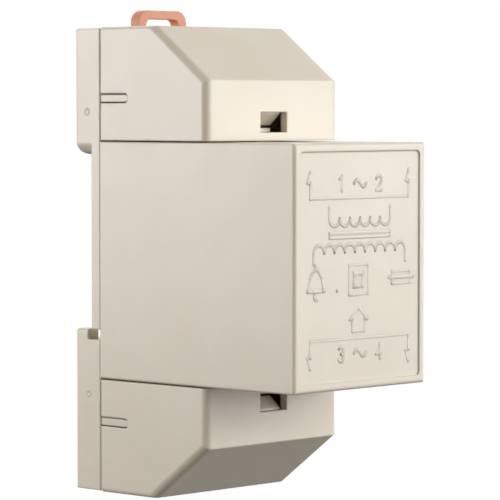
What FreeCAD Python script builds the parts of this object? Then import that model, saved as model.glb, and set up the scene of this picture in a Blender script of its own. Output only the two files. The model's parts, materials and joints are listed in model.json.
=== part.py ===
import FreeCAD, Part
import math
import os
import Sketcher

# Doorbell transformer for a 35 mm mounting rail, in millimetres.
# X runs across the device, Y from its front to its back and Z upward.
# Every piece is drawn with Y = 0 at the joint between the base and the front shells and Z = 0
# at the middle of the height. Its Placement then brings the middle of the rail seat to the origin.

os.makedirs("parts", exist_ok=True)
doc = FreeCAD.newDocument("doorbell_transformer")
Vector = FreeCAD.Vector

SIZES = {
    # whole device
    "device_width": 36.0,
    "seam_edge": 0.25,
    # rail that the device clips to
    "rail_height": 35.0,
    "rail_play": 0.3,
    "rail_sheet": 1.0,
    "rail_sheet_play": 0.15,
    "rail_offset": 2.4,
    # base tray
    "base_depth": 6.9,
    "base_floor": 2.3,
    "base_rim": 2.8,
    "base_edge": 0.8,
    "channel_web": 1.8,
    "channel_round": 2.2,
    "hook_reach": 2.0,
    "hook_round": 0.5,
    "stiffener": 1.2,
    "stiffener_drop": 1.0,
    "core_pad_height": 0.95,
    "core_pad_width": 10.0,
    "core_pad_length": 6.0,
    "tab_reach": 2.0,
    "tab_thickness": 1.2,
    "tab_length": 12.0,
    "tab_play": 0.1,
    # central housing
    "block_height": 45.0,
    "block_depth": 50.2,
    "block_wall": 1.8,
    "block_edge": 0.6,
    "block_long_edge": 0.3,
    "panel_rim": 1.5,
    "panel_sink": 0.3,
    "panel_round": 0.8,
    "boss_radius": 2.4,
    "boss_place": 12.4,
    "boss_bury": 0.3,
    "core_rib": 1.2,
    "core_rib_place": 5.0,
    "core_play": 0.05,
    "latch_width": 5.6,
    "latch_rise": 1.4,
    "latch_run": 4.2,
    "latch_set_back": 0.4,
    # terminal covers
    "cover_proud": 0.25,
    "cover_gap": 0.25,
    "cover_wall": 1.6,
    "cover_height": 21.45,
    "cover_depth": 28.3,
    "cover_flat_end": 14.6,
    "cover_front_height": 11.5,
    "cover_edge": 1.45,
    "cover_end_edge": 0.7,
    "slot_length": 7.5,
    "slot_height": 1.8,
    "slot_place": 8.2,
    "slot_round": 0.7,
    "tongue_play": 0.2,
    "tongue_sink": 0.25,
    "window_width": 7.3,
    "window_height": 3.8,
    "window_place": 1.8,
    "cable_slot_width": 5.4,
    "cable_slot_depth": 11.3,
    # rail clip and its spring
    "clip_width": 12.9,
    "clip_thickness": 2.2,
    "clip_play": 0.2,
    "clip_floor": 1.0,
    "clip_travel": 3.2,
    "clip_limb": 2.05,
    "clip_bar": 1.65,
    "clip_rise": 3.7,
    "clip_round": 2.4,
    "clip_inner_round": 1.2,
    "nose_room": 0.55,
    "nose_reach": 1.6,
    "nose_height": 4.0,
    "nose_depth": 3.1,
    "nose_lead": 1.5,
    "guide_wall": 1.5,
    "guide_lip": 1.1,
    "guide_start": 24.0,
    "guide_length": 16.0,
    "guide_lip_depth": 1.4,
    "spring_radius": 1.45,
    "spring_wire": 0.45,
    "spring_turns": 9.0,
    "spring_room": 0.6,
    "spring_foot": 4.6,
    "post_height": 2.2,
    "post_depth": 4.0,
    # laminated core and coil
    "core_front_room": 5.4,
    "core_end_room": 3.2,
    "core_side_gap": 0.8,
    "core_leg": 7.0,
    "core_back_gap": 1.0,
    "bobbin_wall": 0.8,
    "bobbin_play": 0.2,
    "bobbin_flange": 0.9,
    "flange_margin": 0.3,
    "flange_room": 2.2,
    "winding_drop": 1.0,
    "winding_play": 0.05,
    "winding_round": 2.0,
    "tape_thickness": 0.25,
    "fuse_radius": 1.6,
    "fuse_gap": 0.4,
    # terminals
    "terminal_width": 26.4,
    "terminal_overrun": 2.4,
    "terminal_start": 2.1,
    "terminal_end_room": 2.9,
    "terminal_pitch": 14.0,
    "barrier_width": 5.2,
    "barrier_room": 4.6,
    "barrier_height": 10.8,
    "pocket_width": 6.8,
    "pocket_height": 9.2,
    "pocket_wall": 3.4,
    "pocket_back": 4.0,
    "clamp_play": 0.15,
    "clamp_sheet": 1.0,
    "clamp_depth": 9.6,
    "wire_hole_radius": 2.0,
    "wire_hole_place": 8.2,
    "lead_radius": 0.7,
    "lead_bend": 2.5,
    "lead_bury": 3.0,
    "lead_lean": 0.8,
    "lead_rise": 2.2,
    "lead_climb": 5.3,
    "fuse_lead_straight": 2.0,
    "fuse_lead_turn": 4.0,
    "lead_hole_radius": 0.95,
    "lead_gap": 0.3,
    "lead_depth": 8.0,
    "peg_radius": 1.5,
    "peg_length": 3.0,
    "peg_place": 3.2,
    "peg_play": 0.05,
    # screws
    "terminal_screw_radius": 1.5,
    "terminal_screw_length": 5.6,
    "terminal_head_radius": 2.7,
    "terminal_head_height": 1.7,
    "case_screw_radius": 1.25,
    "case_screw_length": 10.0,
    "case_head_radius": 2.3,
    "case_head_height": 1.1,
    "screw_play": 0.05,
    "head_play": 0.25,
    "drive_slot": 0.7,
    "drive_depth": 0.6,
}

# Sizes that follow from the others
DERIVED = {
    "base_height": "=block_height + 2 * cover_height",
    "core_height": "=block_height - 2 * (block_wall + core_end_room)",
    "core_length": "=block_depth - block_wall - core_front_room - core_back_gap",
    "flange_width": "=device_width - 2 * (block_wall + flange_room)",
    "lead_place": "=boss_place - boss_radius - lead_gap - lead_radius",
    "core_stack": "=2 * (lead_place - lead_radius - core_side_gap)",
    "fuse_place": "=core_stack / 2 + fuse_radius + fuse_gap",
    "nose_width": "=clip_width - 2 * (guide_lip - clip_play + nose_room)",
    "terminal_depth": "=cover_flat_end + terminal_overrun",
}

sheet = doc.addObject("Spreadsheet::Sheet", "sizes")
for row, (alias, value) in enumerate(list(SIZES.items()) + list(DERIVED.items()), 1):
    sheet.set("A%d" % row, alias)
    sheet.set("B%d" % row, str(value))
    sheet.setAlias("B%d" % row, alias)
doc.recompute()

# Places that several pieces share, as expressions of the sheet
HALF_WIDTH = "sizes.device_width / 2"
BASE_TOP = "sizes.base_height / 2"
BLOCK_TOP = "sizes.block_height / 2"
BLOCK_INSIDE = "(sizes.block_height / 2 - sizes.block_wall)"
BLOCK_INSIDE_X = "(sizes.device_width / 2 - sizes.block_wall)"
RIM_INSIDE = "(sizes.device_width / 2 - sizes.base_rim)"
CHANNEL_TOP = "(sizes.rail_offset + (sizes.rail_height + sizes.rail_play) / 2)"
CHANNEL_BOTTOM = "(sizes.rail_offset - (sizes.rail_height + sizes.rail_play) / 2)"
HOOK_TOP = "(%s + sizes.hook_reach)" % CHANNEL_BOTTOM
HOOK_FRONT = "(sizes.base_floor + sizes.rail_sheet + sizes.rail_sheet_play)"
COVER_TOP = "(sizes.base_height / 2 + sizes.cover_proud)"
COVER_FOOT = "(sizes.block_height / 2 + sizes.cover_gap)"
COVER_CORNER = "(sizes.block_height / 2 + sizes.cover_front_height)"
COVER_SLOPE = "atan((%s - %s) / (sizes.cover_depth - sizes.cover_flat_end))" % (COVER_TOP, COVER_CORNER)
SLOT_MIDDLE = "(sizes.block_height / 2 + sizes.slot_place)"
BOSS_HEIGHT = "(%s - sizes.boss_radius + sizes.boss_bury)" % BLOCK_INSIDE
CLIP_BACK = "(sizes.clip_floor + sizes.clip_play + sizes.clip_thickness)"
CLIP_ROOM = "(sizes.clip_width / 2 + sizes.clip_play)"
CLIP_TOP = "(sizes.base_height / 2 + sizes.clip_rise)"
CLIP_FOOT = "(%s + 2 * sizes.clip_play)" % CHANNEL_TOP
SPRING_FOOT = "(%s + sizes.spring_foot)" % CLIP_FOOT
SPRING_LENGTH = "((sizes.spring_turns + 1) * sizes.spring_wire + sizes.clip_travel)"
SPRING_TOP = "(%s + %s)" % (SPRING_FOOT, SPRING_LENGTH)
CORE_BACK = "sizes.core_back_gap"
CORE_MIDDLE = "(sizes.core_back_gap + sizes.core_length / 2)"
CORE_FRONT = "(sizes.core_back_gap + sizes.core_length)"
WINDOW_HALF = "(sizes.core_height / 2 - sizes.core_leg)"
TERMINAL_FOOT = "(%s + sizes.terminal_start)" % BLOCK_TOP
TERMINAL_END = "(%s - sizes.cover_wall - sizes.terminal_end_room)" % COVER_TOP
POCKET_FOOT = "(%s + sizes.pocket_wall)" % TERMINAL_FOOT
POCKET_MIDDLE = "(%s + sizes.pocket_height / 2)" % POCKET_FOOT
PEG_HEIGHTS = ("(%s + sizes.peg_place)" % TERMINAL_FOOT, "(%s - sizes.peg_place)" % TERMINAL_END)
CLAMP_MIDDLE = "(sizes.pocket_back + sizes.clamp_play + sizes.clamp_depth / 2)"


def size(alias):
    """Value of one cell of the sheet."""
    return float(sheet.get(alias))


def minus(expression):
    return "-(%s)" % expression


def new_body(label):
    body = doc.addObject("PartDesign::Body", label)
    body.Label = label
    seat_on_rail(body)
    return body


def origin_plane(body, role):
    for item in body.Origin.OriginFeatures:
        if item.Role == role:
            return item
    raise ValueError("no plane %s" % role)


def seat_on_rail(item, x="0", y="0", z="0"):
    """Place a piece so that the middle of the rail seat is the origin."""
    item.setExpression("Placement.Base.x", x)
    item.setExpression("Placement.Base.y", "%s - sizes.base_floor" % y)
    item.setExpression("Placement.Base.z", "%s - sizes.rail_offset" % z)


def new_sketch(body, name, role, shift="0"):
    """Sketch on one of the body's planes, moved along that plane's normal."""
    sketch = body.newObject("Sketcher::SketchObject", name)
    sketch.AttachmentSupport = (origin_plane(body, role), [""])
    sketch.MapMode = "FlatFace"
    sketch.setExpression("AttachmentOffset.Base.z", shift)
    return sketch


def bind_point(sketch, item, point, place):
    """Tie one point of the sketch to two expressions."""
    for kind, expression in zip(("DistanceX", "DistanceY"), place):
        number = sketch.addConstraint(Sketcher.Constraint(kind, -1, 1, item, point, 1.0))
        sketch.setExpression("Constraints[%d]" % number, str(expression))


def add_ring(sketch, corners):
    """Closed outline of straight lines, each corner tied to its expressions."""
    count = len(corners)
    first = sketch.GeometryCount
    turn = 2 * math.pi / count
    start = [Vector(10 * math.cos(turn * i), 10 * math.sin(turn * i), 0) for i in range(count)]
    for i in range(count):
        sketch.addGeometry(Part.LineSegment(start[i], start[(i + 1) % count]), False)
    for i in range(count):
        following = first + (i + 1) % count
        sketch.addConstraint(Sketcher.Constraint("Coincident", first + i, 2, following, 1))
    for i, corner in enumerate(corners):
        bind_point(sketch, first + i, 1, corner)


def add_circle(sketch, centre, radius):
    item = sketch.GeometryCount
    sketch.addGeometry(Part.Circle(Vector(1, 1, 0), Vector(0, 0, 1), 1.0), False)
    bind_point(sketch, item, 3, centre)
    number = sketch.addConstraint(Sketcher.Constraint("Radius", item, 1.0))
    sketch.setExpression("Constraints[%d]" % number, radius)


def rectangle(left, right, low, high):
    return [(left, low), (right, low), (right, high), (left, high)]


def mirrored_pair(left, right, low, high):
    """A rectangle and its mirror image on the other side of the middle."""
    return [rectangle(left, right, low, high),
            rectangle(minus(right), minus(left), low, high)]


def four_ways(left, right, low, high):
    """A rectangle and its mirror images left, right, above and below."""
    rings = mirrored_pair(left, right, low, high)
    return rings + mirrored_pair(left, right, minus(high), minus(low))


def draw(body, name, role, rings, shift="0"):
    sketch = new_sketch(body, name, role, shift)
    for ring in rings:
        add_ring(sketch, ring)
    return sketch


def set_extent(feature, length, side):
    if side == "symmetric":
        feature.SideType = "Symmetric"
    if side == "reversed":
        feature.Reversed = True
    if length == "through":
        feature.Type = "ThroughAll"
    else:
        feature.setExpression("Length", length)


def pad(body, name, sketch, length, side="normal"):
    feature = body.newObject("PartDesign::Pad", name)
    feature.Profile = sketch
    set_extent(feature, length, side)
    doc.recompute()
    return feature


def pocket(body, name, sketch, length, side="normal"):
    """Cut that has to take material away."""
    before = body.Shape.Volume
    feature = body.newObject("PartDesign::Pocket", name)
    feature.Profile = sketch
    set_extent(feature, length, side)
    doc.recompute()
    if body.Shape.Volume > before - 1e-6:
        raise RuntimeError("%s cuts nothing" % name)
    return feature


def edges_of(shape, chosen):
    return ["Edge%d" % number for number, edge in enumerate(shape.Edges, 1) if chosen(edge)]


def near(value, wanted):
    return abs(value - wanted) < 1e-4


def runs_along(edge, axis):
    """True for a straight edge along the axis 0, 1 or 2."""
    box = edge.BoundBox
    spans = [box.XLength, box.YLength, box.ZLength]
    own = spans.pop(axis)
    return own > 1e-3 and max(spans) < 1e-4


def in_plane(edge, axis, place):
    box = edge.BoundBox
    low = (box.XMin, box.YMin, box.ZMin)[axis]
    high = (box.XMax, box.YMax, box.ZMax)[axis]
    return near(low, place) and near(high, place)


def round_edges(body, name, chosen, radius):
    """Fillet on every edge of the body that the test picks."""
    base = body.Tip
    names = edges_of(base.Shape, chosen)
    if not names:
        raise RuntimeError("%s finds no edge" % name)
    feature = body.newObject("PartDesign::Fillet", name)
    feature.Base = (base, names)
    feature.setExpression("Radius", radius)
    doc.recompute()
    return feature


def make_base():
    """Rear tray with the rail channel, the fixed hooks and the guides of the clip."""
    body = new_body("base")
    outline = draw(body, "base_outline", "XZ_Plane",
                   [rectangle(minus(HALF_WIDTH), HALF_WIDTH, minus(BASE_TOP), BASE_TOP)])
    pad(body, "base_block", outline, "sizes.base_depth", "reversed")
    back = size("base_depth")
    round_edges(body, "base_back_edges", lambda edge: in_plane(edge, 1, back), "sizes.base_edge")
    side = size("device_width") / 2
    round_edges(body, "base_seam", lambda edge: in_plane(edge, 1, 0) and on_side(edge, side),
                "sizes.seam_edge")
    cut_channel(body)
    cut_hollows(body)
    cut_clip_way(body)
    add_clip_guides(body)
    add_base_seats(body)
    cut_screw_seats(body)
    add_tongues(body)
    return body


def cut_channel(body):
    """Channel across the back with an undercut below, which leaves the fixed hook."""
    behind = "(2 * sizes.base_depth)"
    profile = draw(body, "channel_profile", "YZ_Plane", [[
        ("sizes.base_floor", CHANNEL_TOP),
        (behind, CHANNEL_TOP),
        (behind, HOOK_TOP),
        (HOOK_FRONT, HOOK_TOP),
        (HOOK_FRONT, CHANNEL_BOTTOM),
        ("sizes.base_floor", CHANNEL_BOTTOM)]])
    pocket(body, "channel", profile, "through", "symmetric")
    back = size("base_depth")
    top = size("rail_offset") + (size("rail_height") + size("rail_play")) / 2
    hook = size("rail_offset") - (size("rail_height") + size("rail_play")) / 2 + size("hook_reach")
    round_edges(body, "channel_lead", lambda edge: runs_along(edge, 0)
                and in_plane(edge, 1, back) and in_plane(edge, 2, top), "sizes.channel_round")
    round_edges(body, "hook_lead", lambda edge: runs_along(edge, 0)
                and in_plane(edge, 1, back) and in_plane(edge, 2, hook), "sizes.hook_round")


def cut_hollows(body):
    """Hollow back between the rim and the webs beside the channel."""
    inside_top = "(sizes.base_height / 2 - sizes.base_rim)"
    upper_web = "(%s + sizes.channel_web)" % CHANNEL_TOP
    lower_web = "(%s - sizes.channel_web)" % CHANNEL_BOTTOM
    depth = "sizes.base_depth - sizes.base_floor"
    rings = [rectangle(minus(RIM_INSIDE), RIM_INSIDE, upper_web, inside_top),
             rectangle(minus(RIM_INSIDE), RIM_INSIDE, CHANNEL_BOTTOM, HOOK_TOP),
             rectangle(minus(RIM_INSIDE), RIM_INSIDE, minus(inside_top), lower_web)]
    sketch = draw(body, "hollow_outlines", "XZ_Plane", rings, "-sizes.base_depth")
    pocket(body, "hollows", sketch, depth, "reversed")
    side_holes = mirrored_pair(RIM_INSIDE, "(%s + 1)" % HALF_WIDTH, CHANNEL_BOTTOM, HOOK_TOP)
    sketch = draw(body, "hook_core_outlines", "XZ_Plane", side_holes, "-sizes.base_floor")
    pocket(body, "hook_core_holes", sketch, "sizes.base_floor", "reversed")
    ribs = mirrored_pair("(%s - sizes.stiffener) / 2" % RIM_INSIDE,
                         "(%s + sizes.stiffener) / 2" % RIM_INSIDE, minus(inside_top), lower_web)
    ribs.append(rectangle("-sizes.stiffener / 2", "sizes.stiffener / 2", minus(inside_top), lower_web))
    sketch = draw(body, "stiffener_outlines", "XZ_Plane", ribs, "-sizes.base_floor")
    pad(body, "stiffeners", sketch, depth + " - sizes.stiffener_drop", "reversed")


def cut_clip_way(body):
    """Way for the rail clip, open at the channel and through the top of the rim."""
    foot = "(%s - sizes.nose_reach - sizes.clip_play)" % CHANNEL_TOP
    way = rectangle(minus(CLIP_ROOM), CLIP_ROOM, foot,
                    "(sizes.base_height / 2 - sizes.base_rim)")
    sketch = draw(body, "clip_way_outline", "XZ_Plane", [way], "-sizes.base_depth")
    pocket(body, "clip_way", sketch, "sizes.base_depth - sizes.clip_floor", "reversed")
    door = rectangle(minus(CLIP_ROOM), CLIP_ROOM,
                     "(sizes.base_height / 2 - 2 * sizes.base_rim)", "(%s + 1)" % BASE_TOP)
    door_back = "(%s + sizes.clip_play)" % CLIP_BACK
    sketch = draw(body, "clip_door_outline", "XZ_Plane", [door], minus(door_back))
    pocket(body, "clip_door", sketch, "%s - sizes.clip_floor" % door_back, "reversed")


def add_clip_guides(body):
    """Hooked rails beside the clip and the post that its spring bears on."""
    outer = "(%s + sizes.guide_wall)" % CLIP_ROOM
    inner = "(%s - sizes.guide_lip)" % CLIP_ROOM
    under = "(%s + sizes.clip_play)" % CLIP_BACK
    over = "(%s + sizes.guide_lip_depth)" % under
    right = [(CLIP_ROOM, "sizes.clip_floor"), (outer, "sizes.clip_floor"), (outer, over),
             (inner, over), (inner, under), (CLIP_ROOM, under)]
    left = [(minus(x), y) for x, y in right]
    sketch = draw(body, "guide_profiles", "XY_Plane", [right, left], "sizes.guide_start")
    pad(body, "clip_guides", sketch, "sizes.guide_length")
    half = "(sizes.spring_radius + sizes.spring_wire / 2)"
    post = rectangle(minus(half), half, SPRING_TOP, "(%s + sizes.post_height)" % SPRING_TOP)
    sketch = draw(body, "spring_post_outline", "XZ_Plane", [post], "-sizes.clip_floor")
    pad(body, "spring_post", sketch, "sizes.post_depth", "reversed")


def add_base_seats(body):
    """Pads behind the core, tabs inside the housing and pegs of the terminal blocks."""
    pad_end = "(sizes.core_height / 2)"
    pads = [rectangle("-sizes.core_pad_width / 2", "sizes.core_pad_width / 2", low, high)
            for low, high in ((pad_end + " - sizes.core_pad_length", pad_end),
                              (minus(pad_end), "sizes.core_pad_length - " + pad_end))]
    sketch = draw(body, "core_pad_outlines", "XZ_Plane", pads)
    pad(body, "core_pads", sketch, "sizes.core_pad_height")
    tab_out = "(%s - sizes.tab_play)" % BLOCK_INSIDE_X
    tabs = mirrored_pair("(%s - sizes.tab_thickness)" % tab_out, tab_out,
                         "-sizes.tab_length / 2", "sizes.tab_length / 2")
    sketch = draw(body, "tab_outlines", "XZ_Plane", tabs)
    pad(body, "housing_tabs", sketch, "sizes.tab_reach")
    sketch = new_sketch(body, "peg_circles", "XZ_Plane")
    for height in PEG_HEIGHTS:
        add_circle(sketch, ("0", height), "sizes.peg_radius")
        add_circle(sketch, ("0", minus(height)), "sizes.peg_radius")
    pad(body, "terminal_pegs", sketch, "sizes.peg_length")


def cut_screw_seats(body):
    """Sunk seats and clearance holes of the case screws."""
    for name, radius, shift, depth in (
            ("head", "sizes.case_head_radius + sizes.head_play", "-sizes.base_depth",
             "sizes.base_depth - sizes.base_floor + sizes.case_head_height + sizes.screw_play"),
            ("shank", "sizes.case_screw_radius + sizes.head_play", "-sizes.base_floor",
             "sizes.base_floor")):
        sketch = new_sketch(body, "case_%s_circles" % name, "XZ_Plane", shift)
        for x in ("sizes.boss_place", "-sizes.boss_place"):
            for z in (BOSS_HEIGHT, minus(BOSS_HEIGHT)):
                add_circle(sketch, (x, z), radius)
        pocket(body, "case_%s_seats" % name, sketch, depth, "reversed")


def add_tongues(body):
    """Tongues that stand in the side slots of the covers."""
    out = "(%s - sizes.tongue_sink)" % HALF_WIDTH
    inner = "(%s - sizes.cover_wall)" % HALF_WIDTH
    half = "(sizes.slot_height / 2 - sizes.tongue_play)"
    rings = four_ways(inner, out, "(%s - %s)" % (SLOT_MIDDLE, half), "(%s + %s)" % (SLOT_MIDDLE, half))
    sketch = draw(body, "tongue_outlines", "XZ_Plane", rings)
    pad(body, "cover_tongues", sketch, "sizes.slot_length - sizes.tongue_play")
    tip = size("tongue_play") - size("slot_length")
    round_edges(body, "tongue_tips", lambda edge: runs_along(edge, 0) and in_plane(edge, 1, tip),
                "sizes.slot_round - sizes.tongue_play")


def make_housing():
    """Deep central shell that holds the core, with its screw bosses and ribs."""
    body = new_body("housing")
    outline = draw(body, "housing_outline", "XZ_Plane",
                   [rectangle(minus(HALF_WIDTH), HALF_WIDTH, minus(BLOCK_TOP), BLOCK_TOP)])
    pad(body, "housing_block", outline, "sizes.block_depth")
    front = -size("block_depth")
    round_edges(body, "long_edges", lambda edge: runs_along(edge, 1), "sizes.block_long_edge")
    round_edges(body, "front_edges", lambda edge: in_plane(edge, 1, front), "sizes.block_edge")
    inside = draw(body, "housing_inside", "XZ_Plane", [
        rectangle(minus(BLOCK_INSIDE_X), BLOCK_INSIDE_X, minus(BLOCK_INSIDE), BLOCK_INSIDE)])
    pocket(body, "housing_hollow", inside, "sizes.block_depth - sizes.block_wall", "reversed")
    panel_x = "(%s - sizes.panel_rim)" % HALF_WIDTH
    panel_z = "(%s - sizes.panel_rim)" % BLOCK_TOP
    panel = draw(body, "panel_outline", "XZ_Plane",
                 [rectangle(minus(panel_x), panel_x, minus(panel_z), panel_z)], "sizes.block_depth")
    pocket(body, "front_panel", panel, "sizes.panel_sink")
    floor = front + size("panel_sink")
    round_edges(body, "panel_corners", lambda edge: runs_along(edge, 1)
                and near(edge.BoundBox.YMax, floor) and near(edge.BoundBox.YMin, front),
                "sizes.panel_round")
    add_bosses(body)
    add_core_ribs(body)
    cut_lead_ways(body)
    add_latches(body)
    return body


def add_bosses(body):
    """Round bosses at the corners, bored for the case screws."""
    sketch = new_sketch(body, "boss_circles", "XZ_Plane")
    bores = new_sketch(body, "bore_circles", "XZ_Plane")
    for x in ("sizes.boss_place", "-sizes.boss_place"):
        for z in (BOSS_HEIGHT, minus(BOSS_HEIGHT)):
            add_circle(sketch, (x, z), "sizes.boss_radius")
            add_circle(bores, (x, z), "sizes.case_screw_radius + sizes.screw_play")
    pad(body, "screw_bosses", sketch, "sizes.block_depth - sizes.block_wall / 2")
    pocket(body, "boss_bores", bores, "sizes.case_screw_length + sizes.case_screw_radius", "reversed")


def add_core_ribs(body):
    """Ribs that hold the core above, below and in front."""
    inner = "(sizes.core_rib_place - sizes.core_rib / 2)"
    outer = "(sizes.core_rib_place + sizes.core_rib / 2)"
    rings = four_ways(inner, outer, "(sizes.core_height / 2 + sizes.core_play)",
                      "(%s + sizes.block_wall / 2)" % BLOCK_INSIDE)
    sketch = draw(body, "core_rib_outlines", "XZ_Plane", rings, "sizes.core_back_gap")
    pad(body, "core_ribs", sketch, "sizes.block_depth - sizes.block_wall / 2 - sizes.core_back_gap")
    stop = "(%s + sizes.core_play)" % CORE_FRONT
    half = "(sizes.core_stack / 2)"
    rings = [rectangle(minus(half), half, low, high) for low, high in (
        ("sizes.core_height / 4", "sizes.core_height / 4 + sizes.core_rib"),
        ("-sizes.core_height / 4 - sizes.core_rib", "-sizes.core_height / 4"))]
    sketch = draw(body, "core_stop_outlines", "XZ_Plane", rings, stop)
    pad(body, "core_stops", sketch, "sizes.block_depth - sizes.block_wall / 2 - %s" % stop)


def cut_lead_ways(body):
    """Notches at the joint through which the leads reach the terminals."""
    left = "(sizes.lead_place - sizes.lead_hole_radius)"
    right = "(sizes.lead_place + sizes.lead_hole_radius)"
    rings = mirrored_pair(left, right, "-(sizes.lead_depth + sizes.lead_hole_radius)", "1")
    sketch = draw(body, "lead_way_outlines", "XY_Plane", rings)
    pocket(body, "lead_ways", sketch, "through", "symmetric")


def add_latches(body):
    """Sloping ledges on the upper and lower wall, seen through the cover windows."""
    front = "-(sizes.cover_depth - sizes.cover_wall - sizes.latch_set_back)"
    back = "(%s + sizes.latch_run)" % front
    root = "(%s - sizes.block_wall / 2)" % BLOCK_TOP
    top = "(%s + sizes.latch_rise)" % BLOCK_TOP
    low = "(%s + sizes.latch_rise / 4)" % BLOCK_TOP
    upper = [(front, root), (back, root), (back, top), (front, low)]
    lower = [(y, minus(z)) for y, z in upper]
    sketch = draw(body, "latch_profiles", "YZ_Plane", [upper, lower])
    pad(body, "latch_ledges", sketch, "sizes.latch_width", "symmetric")


def make_upper_cover():
    """Terminal cover: flat end, sloping front corner, side slots, window and cable slots."""
    body = new_body("upper_terminal_cover")
    seam = "-sizes.cover_gap"
    profile = draw(body, "cover_profile", "YZ_Plane", [[
        (seam, COVER_FOOT), (seam, COVER_TOP), ("-sizes.cover_flat_end", COVER_TOP),
        ("-sizes.cover_depth", COVER_CORNER), ("-sizes.cover_depth", COVER_FOOT)]])
    pad(body, "cover_block", profile, "sizes.device_width", "symmetric")
    side = size("device_width") / 2
    top = size("base_height") / 2 + size("cover_proud")
    end = -size("cover_flat_end")
    foot = size("block_height") / 2 + size("cover_gap")
    round_edges(body, "cover_front_edges", lambda edge: on_side(edge, side)
                and edge.BoundBox.YMax < end + 1e-3 and not in_plane(edge, 2, foot), "sizes.cover_edge")
    round_edges(body, "cover_end_edges", lambda edge: on_side(edge, side)
                and in_plane(edge, 2, top), "sizes.cover_end_edge")
    cut_cover_inside(body)
    cut_cover_openings(body)
    return body


def on_side(edge, side):
    return in_plane(edge, 0, side) or in_plane(edge, 0, -side)


def cut_cover_inside(body):
    """Inside of the cover, parallel to its outside and open to the base and the housing."""
    wall = "sizes.cover_wall"
    roof = "(%s - %s)" % (COVER_TOP, wall)
    front = "-(sizes.cover_depth - %s)" % wall
    bend = "(%s * tan(%s / 2) - sizes.cover_flat_end)" % (wall, COVER_SLOPE)
    corner = "(%s - %s * tan(45 deg - %s / 2))" % (COVER_CORNER, wall, COVER_SLOPE)
    beyond = "(%s - 1)" % COVER_FOOT
    inside = draw(body, "cover_inside", "YZ_Plane", [[
        ("1", beyond), ("1", roof), (bend, roof), (front, corner), (front, beyond)]])
    pocket(body, "cover_hollow", inside, "sizes.device_width - 2 * %s" % wall, "symmetric")


def cut_cover_openings(body):
    """Side slots, the window beside the housing and the slots for the cables."""
    half = "sizes.slot_height / 2"
    slot = rectangle("-sizes.slot_length", "1", "(%s - %s)" % (SLOT_MIDDLE, half),
                     "(%s + %s)" % (SLOT_MIDDLE, half))
    sketch = draw(body, "side_slot_outline", "YZ_Plane", [slot])
    pocket(body, "side_slots", sketch, "through", "symmetric")
    tip = -size("slot_length")
    round_edges(body, "slot_ends", lambda edge: runs_along(edge, 0) and in_plane(edge, 1, tip),
                "sizes.slot_round")
    low = "(%s + sizes.window_place)" % BLOCK_TOP
    window = rectangle("-sizes.window_width / 2", "sizes.window_width / 2", low,
                       "(%s + sizes.window_height)" % low)
    sketch = draw(body, "window_outline", "XZ_Plane", [window], "sizes.cover_depth")
    pocket(body, "window", sketch, "2 * sizes.cover_wall")
    middle = "sizes.terminal_pitch / 2"
    inner = "(%s - sizes.cable_slot_width / 2)" % middle
    outer = "(%s + sizes.cable_slot_width / 2)" % middle
    rings = mirrored_pair(inner, outer, "-sizes.cable_slot_depth", "1")
    sketch = draw(body, "cable_slot_outlines", "XY_Plane", rings, "(%s + 1)" % COVER_TOP)
    pocket(body, "cable_slots", sketch, "2 * sizes.cover_wall + 1")
    deep = -size("cable_slot_depth")
    round_edges(body, "cable_slot_ends", lambda edge: runs_along(edge, 2)
                and in_plane(edge, 1, deep), "sizes.cable_slot_width / 2.2")


def mirror_below(source, label):
    """The same piece turned to the lower end of the device."""
    item = doc.addObject("Part::Mirroring", label)
    item.Label = label
    item.Source = source
    item.Normal = Vector(0, 0, 1)
    item.setExpression("Base.z", "-sizes.rail_offset")
    doc.recompute()
    return item


def make_clip():
    """Sliding rail clip: pull loop at the top, window for the spring, nose at the foot."""
    body = new_body("rail_clip")
    half = "sizes.clip_width / 2"
    front = "(sizes.clip_floor + sizes.clip_play)"
    outline = draw(body, "clip_outline", "XZ_Plane",
                   [rectangle(minus(half), half, CLIP_FOOT, CLIP_TOP)], minus(front))
    pad(body, "clip_plate", outline, "sizes.clip_thickness", "reversed")
    top = size("base_height") / 2 + size("clip_rise")
    round_edges(body, "loop_corners", lambda edge: runs_along(edge, 1) and in_plane(edge, 2, top),
                "sizes.clip_round")
    inner = "(%s - sizes.clip_limb)" % half
    loop_foot = "(sizes.base_height / 2 - sizes.base_rim / 2)"
    loop = rectangle(minus(inner), inner, loop_foot, "(%s - sizes.clip_bar)" % CLIP_TOP)
    room = "(sizes.spring_radius + sizes.spring_wire / 2 + sizes.spring_room)"
    window_top = "(%s + sizes.post_height + sizes.clip_play)" % SPRING_TOP
    window = rectangle(minus(room), room, "(%s - sizes.clip_play / 2)" % SPRING_FOOT, window_top)
    sketch = draw(body, "clip_opening_outlines", "XZ_Plane", [loop, window], minus(CLIP_BACK))
    pocket(body, "clip_openings", sketch, "sizes.clip_thickness", "reversed")
    bar = top - size("clip_bar")
    round_edges(body, "loop_inner_corners", lambda edge: runs_along(edge, 1)
                and in_plane(edge, 2, bar), "sizes.clip_inner_round")
    add_nose(body)
    return body


def add_nose(body):
    """Nose that catches the upper edge of the rail, sloped where the rail pushes it up."""
    back = "(%s + sizes.nose_depth)" % CLIP_BACK
    front = "(%s + sizes.rail_sheet_play)" % HOOK_FRONT
    low = "(%s - sizes.nose_reach)" % CHANNEL_TOP
    high = "(%s + sizes.nose_height)" % low
    root = "(%s - sizes.clip_thickness / 2)" % CLIP_BACK
    profile = draw(body, "nose_profile", "YZ_Plane", [[
        (root, CLIP_FOOT), (front, CLIP_FOOT), (front, low),
        ("(%s + sizes.rail_sheet / 2)" % front, low),
        (back, "(%s + sizes.nose_lead)" % low), (back, high), (root, high)]])
    pad(body, "nose", profile, "sizes.nose_width", "symmetric")


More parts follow.
